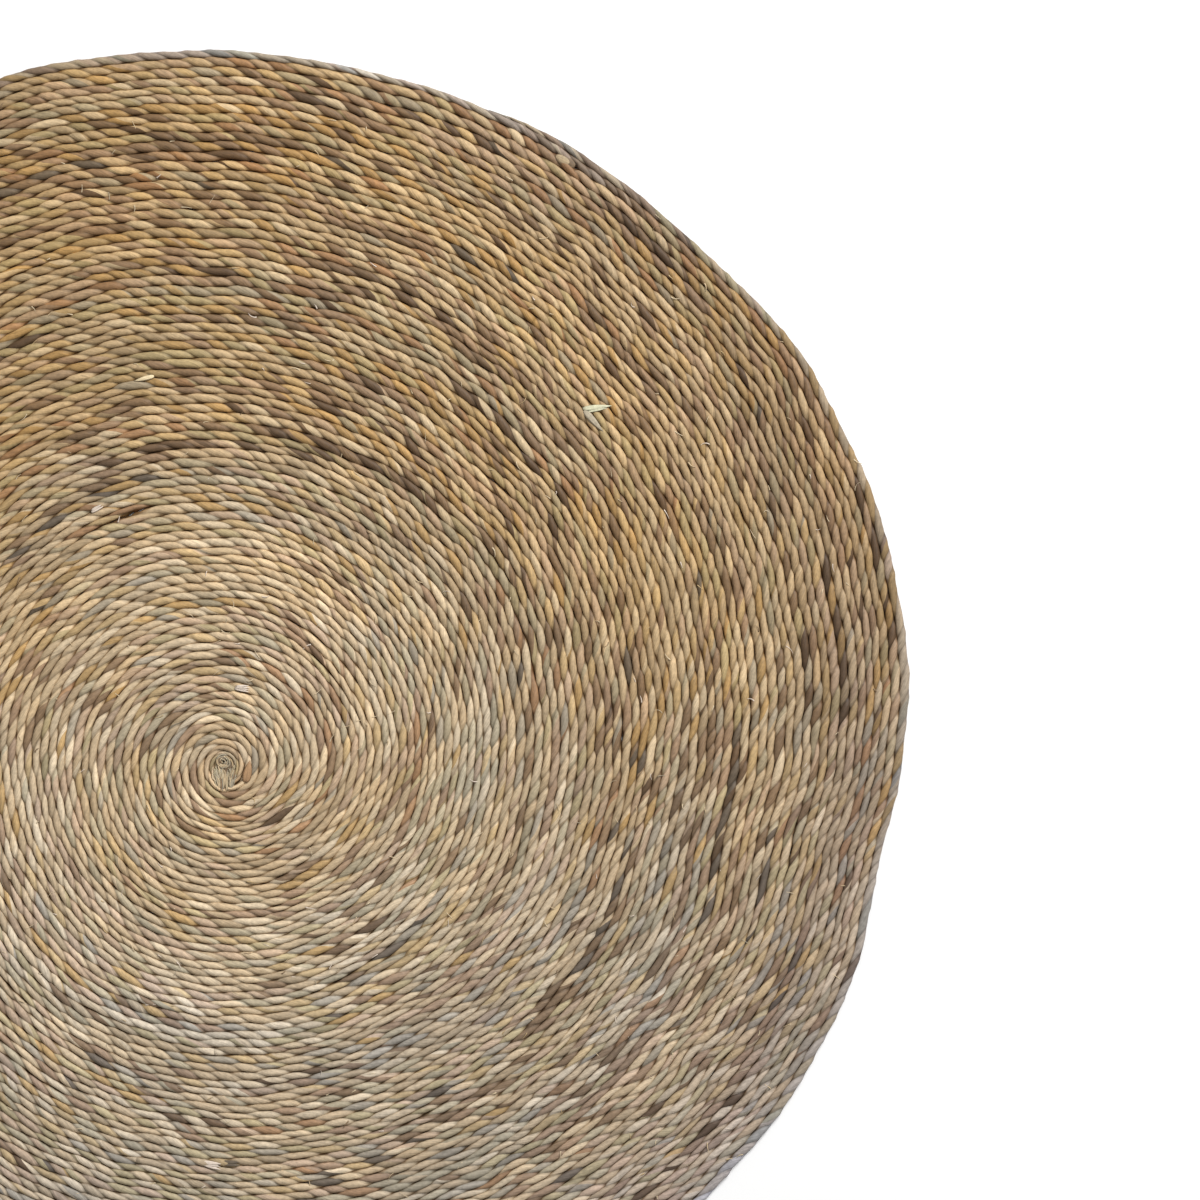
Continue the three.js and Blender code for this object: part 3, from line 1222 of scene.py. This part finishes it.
@dataclass
class LeafTips:
    """Ends of leaves that stick out of the plies."""

    route: CordRoute
    fine_tips: int = 430
    seed: int = 51
    steps: int = 9
    first_ring: int = 120
    last_rings: int = 40
    side_limit: float = 0.42
    swing: float = 0.5
    backward_share: float = 0.5
    curl: float = 0.9
    lengths: tuple[float, float] = (3.5 * MM, 10 * MM)
    rises: tuple[float, float] = (0.3 * MM, 1.3 * MM)
    half_widths: tuple[float, float] = (0.3 * MM, 0.75 * MM)
    end_width: float = 0.25
    crest: float = 0.93
    fall: float = 0.5
    arch: float = 0.75
    thinness: float = 0.28
    tones: tuple[Leaf, ...] = (Leaf.PALE, Leaf.BLEACHED, Leaf.STRAW, Leaf.GOLD, Leaf.BROWN)
    tone_shares: tuple[float, ...] = (0.38, 0.2, 0.24, 0.08, 0.1)
    fan: float = 6.0
    blade_shares: tuple[float, ...] = (0.0, 0.12, 0.3, 0.55, 0.8, 1.0)
    blade_widths: tuple[float, ...] = (0.45, 0.85, 1.0, 0.88, 0.5, 0.04)
    blade_height: float = 0.92
    blade_rise: float = 0.1
    blade_arch: float = 0.8
    blade_thinness: float = 0.16
    next_higher: float = 0.02
    next_shorter: float = 0.12
    next_darker: float = 0.1
    wide_tips: tuple[WideTip, ...] = (
        WideTip(44.1, 459.2 * MM, 6, 26 * MM, 5.0 * MM, Leaf.SAGE),
        WideTip(43.9, 457.6 * MM, 10, 18 * MM, 3.0 * MM, Leaf.SAGE),
        WideTip(43.3, 448.3 * MM, -48, 25 * MM, 6.2 * MM, Leaf.GREY),
        WideTip(77.4, 72.6 * MM, -5, 13.5 * MM, 6.4 * MM, Leaf.BLEACHED, 4),
        WideTip(-91.8, 351.3 * MM, -12, 17 * MM, 7.0 * MM, Leaf.BLEACHED, 3),
        WideTip(-89.1, 349.8 * MM, -3, 16.5 * MM, 6.0 * MM, Leaf.CHARCOAL, 2),
        WideTip(101.7, 352.3 * MM, 194, 18 * MM, 4.4 * MM, Leaf.CREAM),
        WideTip(116.2, 256.3 * MM, 28, 12 * MM, 4.6 * MM, Leaf.BLEACHED, 2),
        WideTip(-7.6, 20.4 * MM, 78, 20 * MM, 8.4 * MM, Leaf.RUST),
    )

    def fine(self) -> Strands:
        """Lays out the fine tips, strewn over the cord.

        Returns:
            The tips as strands.
        """
        r = self.route
        draws = np.random.default_rng(self.seed)
        count = self.fine_tips
        at = draws.integers(self.first_ring, len(r.turns) - self.last_rings, count)
        out, along = r.outward[at], np.stack([-r.outward[at, 1], r.outward[at, 0]], axis=1)
        side = draws.uniform(-self.side_limit, self.side_limit, count)
        swing = draws.normal(0.0, self.swing, count)
        swing[draws.random(count) < self.backward_share] += math.pi
        curl = draws.normal(0.0, self.curl, count)
        length = draws.uniform(*self.lengths, count)
        share = np.linspace(0.0, 1.0, self.steps)[None, :]
        heading = swing[:, None] + curl[:, None] * share
        step = length[:, None] / (self.steps - 1)
        ahead = np.cumsum(np.cos(heading) * step, axis=1)
        aside = np.cumsum(np.sin(heading) * step, axis=1)
        start = r.middle[at] + out * (side * r.width[at])[:, None]
        flat = start[:, None] + along[:, None] * ahead[..., None] + out[:, None] * aside[..., None]
        rise = draws.uniform(*self.rises, count)[:, None]
        top = r.height[at, None] * (self.crest - self.fall * side[:, None] ** 2)
        up = top + rise * np.sin(share * math.pi * self.arch)
        half = draws.uniform(*self.half_widths, count)[:, None] * between((1.0, self.end_width), share)
        pick = draws.choice(len(self.tones), count, p=self.tone_shares)
        colours = tone_rows(self.tones)[pick]
        return Strands(np.concatenate([flat, up[..., None]], axis=2), half, colours, self.thinness)

    def wide(self) -> Strands:
        """Lays out the broad tips, each of one or more blades that lie fanned out.

        Returns:
            The blades as strands.
        """
        spiral = self.route.spiral
        share = np.linspace(0.0, 1.0, self.steps)
        swell = np.interp(share, self.blade_shares, self.blade_widths)
        lines, halves, colours = [], [], []
        for tip in self.wide_tips:
            x, y = spiral.at(tip.angle, tip.radius)
            for blade in range(tip.blades):
                fanned = blade - (tip.blades - 1) / 2
                heading = math.radians(tip.heading + self.fan * fanned)
                aside = fanned * tip.width / (tip.blades + 1)
                along = (share - 0.5) * tip.length * (1.0 - self.next_shorter * (blade % 2))
                flat_x = x + along * math.cos(heading) - aside * math.sin(heading)
                flat_y = y + along * math.sin(heading) + aside * math.cos(heading)
                arched = self.blade_rise * np.sin(share * math.pi * self.blade_arch)
                up = self.route.thickness * (self.blade_height + arched + self.next_higher * blade)
                lines.append(np.stack([flat_x, flat_y, up], axis=1))
                halves.append(swell * tip.width / (tip.blades + 1))
                colours.append(linear(tip.tone.value) * (1.0 - self.next_darker * (blade % 2)))
        return Strands(np.array(lines), np.array(halves), np.array(colours), self.blade_thinness, sides=6)

    def build(self) -> list[bpy.types.Object]:
        """Makes all the tips."""
        return [self.fine().build("leaf_tips"), self.wide().build("broad_leaf_tips")]


@dataclass
class FrayedStart:
    """The frayed start of the cord: fibres curled up in the middle, and others trailing down from them."""

    route: CordRoute
    curled: int = 46
    trailing: int = 70
    seed: int = 81
    steps: int = 9
    curl_place: tuple[float, float] = (-1.6 * MM, 6.0 * MM)
    curl_radius: float = 6.5 * MM
    inmost_curl: float = 0.03
    curl_sweeps: tuple[float, float] = (1.0, 2.8)
    curl_tightening: float = 0.35
    trail_width: float = 10.5 * MM
    trail_length: float = 17 * MM
    trail_shares: tuple[float, float] = (0.35, 1.0)
    trail_tops: tuple[float, float] = (-9 * MM, 3 * MM)
    trail_bow: float = 1.1 * MM
    gathering: float = 0.5
    trail_foot: float = -21 * MM
    trail_rounding: float = 3 * MM
    trail_slope: float = 0.2 * MM
    half_widths: tuple[float, float] = (0.4 * MM, 0.85 * MM)
    looseness: float = 0.2 * MM
    end_drop: float = 0.9 * MM
    end_narrowing: float = 0.55
    thinness: float = 0.4
    shade: float = 0.95
    wad_radius: float = 7.5 * MM
    wad_thinness: float = 0.3
    wad_lift: float = 1.1
    wad_shade: float = 0.5
    dish: float = 15 * MM
    tones: tuple[Leaf, ...] = (Leaf.GREY, Leaf.GREEN_GREY, Leaf.STRAW, Leaf.SAND, Leaf.PALE, Leaf.BROWN)
    tone_shares: tuple[float, ...] = (0.3, 0.2, 0.18, 0.14, 0.08, 0.1)

    def curls(self, draws: np.random.Generator) -> np.ndarray:
        """Lays out the centre lines of the curled fibres.

        Args:
            draws: Where random numbers come from.

        Returns:
            The lines seen from above, from the spiral's start.
        """
        share = np.linspace(0.0, 1.0, self.steps)[None, :]
        radius = self.curl_radius * np.sqrt(draws.uniform(self.inmost_curl, 1.0, self.curled))[:, None]
        first = draws.uniform(0.0, 2 * math.pi, self.curled)[:, None]
        sweep = draws.uniform(*self.curl_sweeps, self.curled)[:, None]
        turned = first + sweep * share
        wound = radius * (1.0 - draws.uniform(0.0, self.curl_tightening, self.curled)[:, None] * share)
        x = self.curl_place[0] + wound * np.cos(turned)
        y = self.curl_place[1] + wound * np.sin(turned)
        return np.stack([x, y], axis=2)

    def trails(self, draws: np.random.Generator) -> np.ndarray:
        """Lays out the centre lines of the trailing fibres.

        Args:
            draws: Where random numbers come from.

        Returns:
            The lines seen from above, from the spiral's start.
        """
        share = np.linspace(0.0, 1.0, self.steps)[None, :]
        aside = draws.uniform(-1.0, 1.0, self.trailing)[:, None]
        length = self.trail_length * draws.uniform(*self.trail_shares, self.trailing)[:, None]
        top = draws.uniform(*self.trail_tops, self.trailing)[:, None]
        bow = draws.normal(0.0, self.trail_bow, self.trailing)[:, None] * np.sin(share * math.pi)
        x = aside * self.trail_width * (1.0 - self.gathering * share * np.abs(aside)) + bow
        y = np.maximum(top - length * share, self.trail_foot + self.trail_rounding * np.abs(aside))
        return np.stack([x, y - self.trail_slope * share], axis=2)

    def wad(self) -> Strands:
        """Lays out the flat wad under the fibres, which closes the middle; its dark brown is painted shade
        under the fibres.

        Returns:
            The wad as a strand.
        """
        across = 2 * self.wad_radius
        wad = Oval(
            middle=self.route.spiral.start(), along=np.array([0.0, 1.0]), length=across, width=across,
            height=self.wad_lift * self.wad_thinness * self.wad_radius, thinness=self.wad_thinness,
            steps=self.steps, sides=12)
        # Painted shade: the wad is dark brown for the shade under the fibres.
        return wad.strand(self.wad_shade * linear(Leaf.BROWN.value))

    def build(self) -> list[bpy.types.Object]:
        """Makes the wad and its fibres.

        Returns:
            The two pieces.
        """
        draws = np.random.default_rng(self.seed)
        flat = np.concatenate([self.curls(draws), self.trails(draws)])
        count = len(flat)
        far = np.linalg.norm(flat, axis=2)
        top = self.route.start_thickness + self.end_drop
        up = top + (self.route.inner_thickness - top) * smooth(far / self.dish)
        up += draws.uniform(-self.looseness, self.looseness, count)[:, None]
        share = np.linspace(0.0, 1.0, self.steps)
        up -= self.end_drop * (2 * share[None, :] - 1.0) ** 4
        lines = np.concatenate([flat + self.route.spiral.start(), up[..., None]], axis=2)
        narrowed = 1.0 - self.end_narrowing * np.abs(2 * share - 1.0) ** 3
        halves = draws.uniform(*self.half_widths, count)[:, None] * narrowed
        pick = draws.choice(len(self.tones), count, p=self.tone_shares)
        fibres = Strands(lines, halves, self.shade * tone_rows(self.tones)[pick], self.thinness)
        return [fibres.build("frayed_start"), self.wad().build("shaded_start_wad")]


@dataclass
class SewingThreads:
    """Short stretches of the sewing that show where they cross from round to round."""

    route: CordRoute
    strewn: int = 44
    seed: int = 61
    inmost: float = 0.02
    steps: int = 7
    reach: float = 3.4 * MM
    half_width: float = 0.32 * MM
    thinness: float = 0.8
    slant: float = 1.0472 * MM
    ends_at: float = 0.97
    sink: float = 0.16
    tones: tuple[Leaf, ...] = (Leaf.STRAW, Leaf.PALE, Leaf.GREY)
    rows: tuple[tuple[float, float], ...] = (
        (19, 110 * MM), (19.5, 124 * MM), (19, 138 * MM), (18.5, 152 * MM),
        (57, 150 * MM), (141, 173 * MM), (-28, 169 * MM),
    )

    def build(self) -> bpy.types.Object:
        """Makes the threads.

        Returns:
            The piece.
        """
        spiral = self.route.spiral
        draws = np.random.default_rng(self.seed)
        places = list(self.rows)
        for share, angle in draws.random((self.strewn, 2)):
            places.append((FULL_TURN * angle, spiral.strewn_radius(share, self.inmost)))
        share = np.linspace(-1.0, 1.0, self.steps)
        lines = []
        for angle, radius in places:
            line = np.full(1, spiral.line_at(angle, radius))
            middle = spiral.rough_line(line, np.full(1, float(angle)))[0] + self.reach * share
            aside = draws.uniform(-self.slant, self.slant) * share
            flat = spiral.at(angle + np.degrees(aside / radius), middle)
            up = self.route.thickness * (self.ends_at - self.sink * np.cos(share * math.pi / 2) ** 2)
            lines.append(np.column_stack([flat, up]))
        halves = np.full((len(places), self.steps), self.half_width)
        colours = tone_rows(self.tones)[draws.integers(0, len(self.tones), len(places))]
        return Strands(np.array(lines), halves, colours, self.thinness, sides=5).build("sewing_threads")


@dataclass
class CordEnd:
    """The cut end of the cord: a knob tucked in beside the rim, with a darker leaf wrapped round it that is
    shifted along the rim and is partly painted shadow beside the knob.
    """

    route: CordRoute
    radius: float = 616.3 * MM
    angle: float = 60.9
    length: float = 15.5 * MM
    width: float = 7.6 * MM
    collar: float = 1.3
    collar_shift: float = 1.6 * MM
    knob_shade: float = 0.72
    collar_shade: float = 0.6
    steps: int = 25
    sides: int = 20

    def oval(self, size: float, shift: float, height: float, thinness: float) -> Oval:
        """A plump oval that lies along the rim.

        Args:
            size: Its size as a share of the knob's.
            shift: How far it is moved along the rim.
            height: Height of its middle, as a share of the cord's.
            thinness: Its thickness as a share of its width.

        Returns:
            The oval.
        """
        turned = math.radians(self.angle)
        along = np.array([math.sin(turned), -math.cos(turned)])
        middle = self.route.spiral.at(self.angle, self.radius) + along * shift
        length, width = size * self.length, size * self.width
        up = height * self.route.thickness
        return Oval(middle, along, length, width, up, thinness, self.steps, self.sides)

    def build(self) -> list[bpy.types.Object]:
        """Makes the knob and the leaf wrapped round it, whose dark colour is partly painted shadow.

        Returns:
            The two pieces.
        """
        knob = self.oval(size=1.0, shift=0.0, height=0.84, thinness=0.42)
        # The wrap is darker and shifted along the rim to one side: partly a wrapped leaf, partly painted
        # shadow beside the knob.
        wrap = self.oval(size=self.collar, shift=self.collar_shift, height=0.8, thinness=0.3)
        return [
            knob.strand(linear(Leaf.SAND.value) * self.knob_shade).build("cord_end"),
            wrap.strand(linear(Leaf.BROWN.value) * self.collar_shade).build("end_wrap_and_shadow"),
        ]


class Shade:
    """A value socket of a material that can stand in sums and products."""

    def __init__(self, graph: "Graph", socket: bpy.types.NodeSocket) -> None:
        """Keeps the socket and the graph that it is in."""
        self.graph = graph
        self.socket = socket

    def maths(self, operation: str, left: "Shade | float", right: "Shade | float") -> "Shade":
        """Adds one Math node.

        Args:
            operation: The node's operation.
            left: Its first value.
            right: Its second value.

        Returns:
            The node's result.
        """
        node = self.graph.node("ShaderNodeMath", {"operation": operation}, {0: left, 1: right})
        return Shade(self.graph, node.outputs[0])

    def __add__(self, other: "Shade | float") -> "Shade":
        """Sum."""
        return self.maths("ADD", self, other)

    def __sub__(self, other: "Shade | float") -> "Shade":
        """Difference."""
        return self.maths("SUBTRACT", self, other)

    def __rsub__(self, other: float) -> "Shade":
        """Difference from a number."""
        return self.maths("SUBTRACT", other, self)

    def __mul__(self, other: "Shade | float") -> "Shade":
        """Product."""
        return self.maths("MULTIPLY", self, other)

    __radd__ = __add__
    __rmul__ = __mul__


@dataclass
class Graph:
    """A material's nodes."""

    material: bpy.types.Material

    def node(self, kind: str, settings: dict[str, object], inputs: dict[int | str, object]) -> bpy.types.Node:
        """Adds a node of any type.

        Args:
            kind: The node's type.
            settings: Its settings, set first.
            inputs: A value or a linked socket for each input.

        Returns:
            The new node.
        """
        tree = self.material.node_tree
        node = tree.nodes.new(kind)
        for name, value in settings.items():
            setattr(node, name, value)
        for name, value in inputs.items():
            source = value.socket if isinstance(value, Shade) else value
            if isinstance(source, bpy.types.NodeSocket):
                tree.links.new(source, node.inputs[name])
            else:
                node.inputs[name].default_value = source
        return node


@dataclass(frozen=True)
class SeagrassFinish:
    """Dried leaf: matt, with fine fibres along the ply and a faint waxy sheen."""

    name: str = "dried seagrass"
    fibres_per_ply: float = 11.0
    fibre_length: float = 10 * MM
    blotch_size: float = 3.5 * MM
    fibre_contrast: float = 0.5
    blotch_contrast: float = 0.3
    roughness: float = 0.62
    roughness_spread: float = 0.25
    bump: float = 0.3 * MM

    def build(self) -> bpy.types.Material:
        """Makes the material.

        Returns:
            The finished material.
        """
        material = bpy.data.materials.new(self.name)
        material.use_nodes = True
        material.node_tree.nodes.clear()
        graph = Graph(material)
        leaf = graph.node("ShaderNodeAttribute", {"attribute_name": "leaf"}, {})
        fibre_map = graph.node("ShaderNodeUVMap", {"uv_map": "Fibre"}, {})
        stretched = graph.node(
            "ShaderNodeVectorMath", {"operation": "MULTIPLY"},
            {0: fibre_map.outputs[0], 1: (1.0 / self.fibre_length, self.fibres_per_ply * 2, 1.0)})
        streaks = graph.node(
            "ShaderNodeTexNoise", {"noise_dimensions": "2D"},
            {"Vector": stretched.outputs[0], "Scale": 1.0, "Detail": 3.0, "Roughness": 0.62})
        place = graph.node("ShaderNodeTexCoord", {}, {})
        blotches = graph.node(
            "ShaderNodeTexNoise", {"noise_dimensions": "3D"},
            {"Vector": place.outputs["Object"], "Scale": 1.0 / self.blotch_size, "Detail": 2.0})
        streak = Shade(graph, streaks.outputs[0])
        blotch = Shade(graph, blotches.outputs[0])
        light = 1.0 + (streak - 0.5) * self.fibre_contrast * 2 + (blotch - 0.5) * self.blotch_contrast * 2
        colour = graph.node(
            "ShaderNodeVectorMath", {"operation": "SCALE"}, {0: leaf.outputs["Color"], "Scale": light})
        bump = graph.node(
            "ShaderNodeBump", {}, {"Strength": 0.6, "Distance": self.bump, "Height": streak})
        surface = graph.node("ShaderNodeBsdfPrincipled", {}, {
            "Base Color": colour.outputs[0],
            "Roughness": self.roughness + (streak - 0.5) * self.roughness_spread,
            "Specular IOR Level": 0.35,
            "Normal": bump.outputs[0],
        })
        graph.node("ShaderNodeOutputMaterial", {}, {"Surface": surface.outputs[0]})
        return material


@dataclass(frozen=True)
class PlainFinish:
    """A plain matt surface for the floor."""

    name: str
    tone: tuple[float, float, float]
    roughness: float

    def build(self) -> bpy.types.Material:
        """Makes the material.

        Returns:
            The finished material.
        """
        material = bpy.data.materials.new(self.name)
        material.use_nodes = True
        surface = material.node_tree.nodes["Principled BSDF"]
        surface.inputs["Base Color"].default_value = (*self.tone, 1.0)
        surface.inputs["Roughness"].default_value = self.roughness
        return material


@dataclass
class SeagrassMat:
    """The whole mat."""

    lengths: int = 5
    spiral: Spiral = field(default_factory=Spiral)

    def build(self) -> list[bpy.types.Object]:
        """Builds and dresses the mat.

        Returns:
            Its pieces.
        """
        route = CordRoute(self.spiral)
        leaf = SeagrassFinish().build()
        twine = SeagrassFinish(name="sewing twine", fibre_length=2 * MM, bump=0.08 * MM).build()
        pieces = self.cord_lengths(route)
        pieces += [*FrayedStart(route).build(), *LeafTips(route).build(), *CordEnd(route).build()]
        for piece in pieces:
            piece.data.materials.append(leaf)
        threads = SewingThreads(route).build()
        threads.data.materials.append(twine)
        pieces.append(threads)
        for piece in pieces:
            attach(piece, "root")
            LOG.info("%s: %d faces", piece.name, len(piece.data.polygons))
        return pieces

    def cord_lengths(self, route: CordRoute) -> list[bpy.types.Object]:
        """Makes the cord in lengths, and works out the area of the strip that each would cover unpressed.

        Args:
            route: The cord's course.

        Returns:
            The lengths.
        """
        cord = TwistedCord(route, PlySection(), LeafColours())
        pieces = []
        for number, (first, last) in enumerate(route.cut(self.lengths), start=1):
            piece = cord.build(f"cord_length_{number}", first, last)
            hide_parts("mat")
            metres = float(route.metres[last] - route.metres[first])
            rounds = float(route.turns[last] - route.turns[first])
            area = metres * 2 * float(np.mean(cord.section.half_width(route.width[first:last + 1])))
            LOG.info("%s: %.1f m of cord in %.1f rounds", piece.name, metres, rounds)
            pieces.append(piece)
        return pieces


@dataclass(frozen=True)
class Lamp:
    """A soft square light that faces the mat: its place, the length of its side and its watts."""

    name: str
    place: tuple[float, float, float]
    size: float
    power: float

    def hang(self) -> None:
        """Adds the light to the scene."""
        data = bpy.data.lights.new(self.name, "AREA")
        data.size = self.size
        data.energy = self.power
        light = bpy.data.objects.new(self.name, data)
        light.location = self.place
        light.rotation_euler = (-Vector(self.place)).to_track_quat("-Z", "Y").to_euler()
        bpy.context.scene.collection.objects.link(light)


@dataclass
class Studio:
    """The floor, the lights and the camera."""

    spiral: Spiral
    photo_size: int = 1200
    circle_pixel: tuple[float, float] = (227.0, 725.0)
    circle_pixels: float = 676.0
    lens: float = 85.0
    sensor: float = 36.0
    floor_size: float = 12.0
    lamps: tuple[Lamp, ...] = (
        Lamp("key", (2.2, 2.8, 2.9), 2.2, 270.0), Lamp("fill", (-2.4, -1.2, 3.2), 3.0, 20.0),
    )
    sky: tuple[float, float, float, float] = (1.0, 0.99, 0.97, 1.0)
    sky_strength: float = 0.32

    def build(self) -> None:
        """Makes the floor, the lights and the camera."""
        self.floor()
        self.camera()
        for lamp in self.lamps:
            lamp.hang()
        world = bpy.data.worlds.new("studio")
        world.use_nodes = True
        background = world.node_tree.nodes["Background"]
        background.inputs["Color"].default_value = self.sky
        background.inputs["Strength"].default_value = self.sky_strength
        bpy.context.scene.world = world
        bpy.context.scene.view_settings.view_transform = "Standard"

    def floor(self) -> None:
        """Lays the plain pale floor."""
        bpy.ops.mesh.primitive_plane_add(size=self.floor_size, location=(0, 0, 0))
        floor = bpy.context.object
        floor.name = "floor"
        floor.data.materials.append(PlainFinish("pale floor", (0.9, 0.9, 0.9), 0.9).build())

    def camera(self) -> None:
        """Hangs the camera over the middle of the photograph's frame."""
        scale = self.spiral.mat_radius / self.circle_pixels
        half = self.photo_size / 2
        aside = np.array([half - self.circle_pixel[0], self.circle_pixel[1] - half]) * scale
        x, y = aside + self.spiral.shift
        height = half * scale * self.lens / (self.sensor / 2)
        data = bpy.data.cameras.new("camera")
        data.lens = self.lens
        data.sensor_width = self.sensor
        camera = bpy.data.objects.new("camera", data)
        camera.location = (x, y, height)
        bpy.context.scene.collection.objects.link(camera)
        bpy.context.scene.camera = camera


def main() -> None:
    """Builds the scene."""
    logging.basicConfig(level=logging.INFO, format="%(name)s: %(message)s")
    bpy.ops.object.select_all(action="DESELECT")
    mat = SeagrassMat()
    Studio(mat.spiral).build()
    mat.build()
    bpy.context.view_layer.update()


if __name__ == "__main__":
    main()
